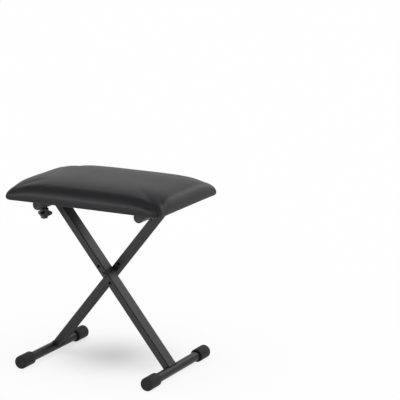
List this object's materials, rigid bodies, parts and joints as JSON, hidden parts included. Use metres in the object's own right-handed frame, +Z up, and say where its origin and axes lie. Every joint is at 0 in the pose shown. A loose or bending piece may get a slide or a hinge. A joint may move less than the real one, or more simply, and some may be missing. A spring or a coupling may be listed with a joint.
{
  "type": "folding keyboard bench",
  "caption": "Folding bench with a padded rectangular seat on two crossed tube legs, with round foot bars, rubber caps and star-grip clamp knobs.",
  "frame": {"origin": "on the floor under the middle of the bench", "axes": "+X along the seat towards the hinge bar, +Y from the front leg to the rear leg, +Z up"},
  "size_m": [0.472, 0.326, 0.5222],
  "materials": {
    "powder_coat": "satin",
    "rubber": "matte",
    "plastic": "satin",
    "black_steel": "satin",
    "zinc_steel": "satin",
    "plywood": "matte",
    "dust_cloth": "matte",
    "vinyl": "satin"
  },
  "bodies": {
    "rear_leg": {"rear_leg_tube": "powder_coat", "rear_leg_foot_bar": "powder_coat", "foot_cap_rear_leg_near": "rubber", "foot_cap_rear_leg_far": "rubber", "hinge_bar": "powder_coat", "end_plug_hinge_bar_near": "plastic", "end_plug_hinge_bar_far": "plastic", "pivot_bolt": "black_steel", "pivot_spacer": "plastic", "pivot_washer": "black_steel", "pivot_nut": "black_steel"},
    "front_leg": {"front_leg_tube": "powder_coat", "front_leg_foot_bar": "powder_coat", "foot_cap_front_leg_near": "rubber", "foot_cap_front_leg_far": "rubber", "clamp_bar": "powder_coat", "end_plug_clamp_bar_near": "plastic", "end_plug_clamp_bar_far": "plastic"},
    "seat": {"seat_board": "plywood", "seat_dust_cover": "dust_cloth", "seat_cushion": "vinyl", "hinge_strap_near": "powder_coat", "hinge_strap_far": "powder_coat", "strap_screw_near_inner": "zinc_steel", "strap_screw_near_outer": "zinc_steel", "strap_screw_far_inner": "zinc_steel", "strap_screw_far_outer": "zinc_steel", "tee_nut_near": "zinc_steel", "tee_nut_far": "zinc_steel"},
    "near_knob": {"clamp_knob_near": "plastic", "clamp_screw_near": "zinc_steel"},
    "far_knob": {"clamp_knob_far": "plastic", "clamp_screw_far": "zinc_steel"}
  },
  "joints": [
    {"name": "fold", "type": "hinge", "parent": "rear_leg", "child": "front_leg", "pos_m": [0, 0, 0.258], "axis": [0, -1, 0], "range_deg": [0, 96]},
    {"name": "seat_tilt", "type": "hinge", "parent": "rear_leg", "child": "seat", "pos_m": [0.15323, 0, 0.44788], "axis": [0, -1, 0], "range_deg": [0, 48]},
    {"name": "near_knob_turn", "type": "hinge", "parent": "front_leg", "child": "near_knob", "pos_m": [-0.15323, -0.092, 0.41788], "axis": [0, 0, -1], "range_deg": [0, 1080]},
    {"name": "far_knob_turn", "type": "hinge", "parent": "front_leg", "child": "far_knob", "pos_m": [-0.15323, 0.092, 0.41788], "axis": [0, 0, -1], "range_deg": [0, 1080]}
  ],
  "couplings": [
    {"joint": "seat_tilt", "follows": "fold", "ratio": 0.5}
  ]
}
